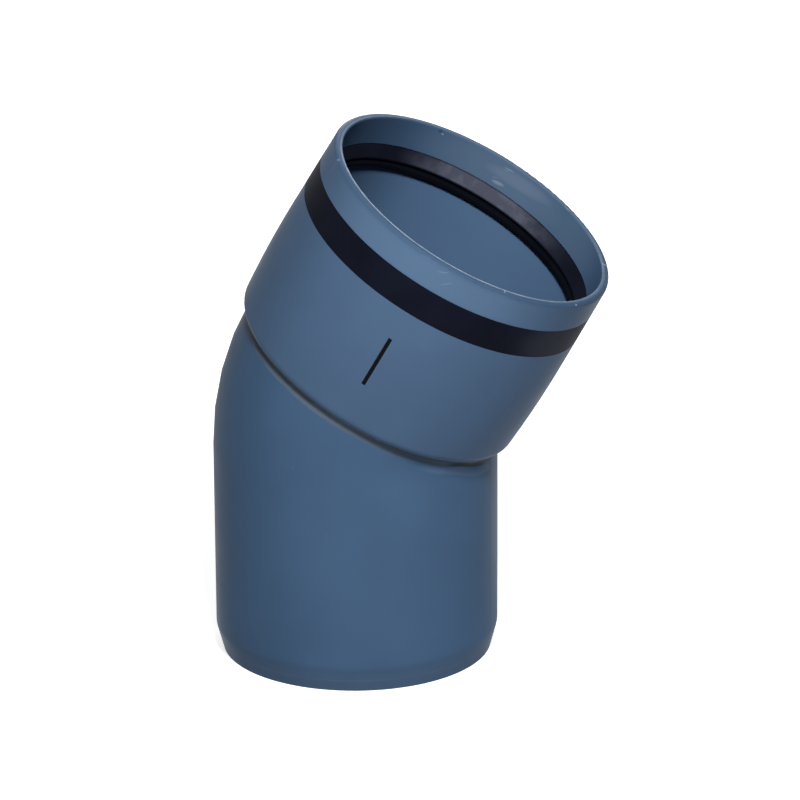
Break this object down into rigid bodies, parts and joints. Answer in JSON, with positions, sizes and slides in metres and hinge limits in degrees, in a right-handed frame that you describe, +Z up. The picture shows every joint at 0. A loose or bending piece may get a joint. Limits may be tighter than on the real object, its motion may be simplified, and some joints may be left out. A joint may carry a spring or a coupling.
{
  "type": "drain pipe bend",
  "caption": "Push-fit drain pipe bend of 30 degrees, with a chamfered spigot at one end and a socket with a moulded-in rubber seal at the other.",
  "frame": {"origin": "centre of the spigot's end face, on the spigot's axis", "axes": "+Z up the spigot, from its end towards the bend; the socket leans 30 degrees from +Z towards +X; +Y completes the right-handed frame"},
  "size_m": [0.1535, 0.1196, 0.2106],
  "materials": {
    "pipe_plastic": "satin slate-blue moulded polypropylene with fine scuffs",
    "seal_rubber": "smooth near-black elastomer, slightly dusty inside"
  },
  "bodies": {
    "root": {"pipe_bend": "pipe_plastic", "seal_ring": "seal_rubber"}
  },
  "joints": []
}
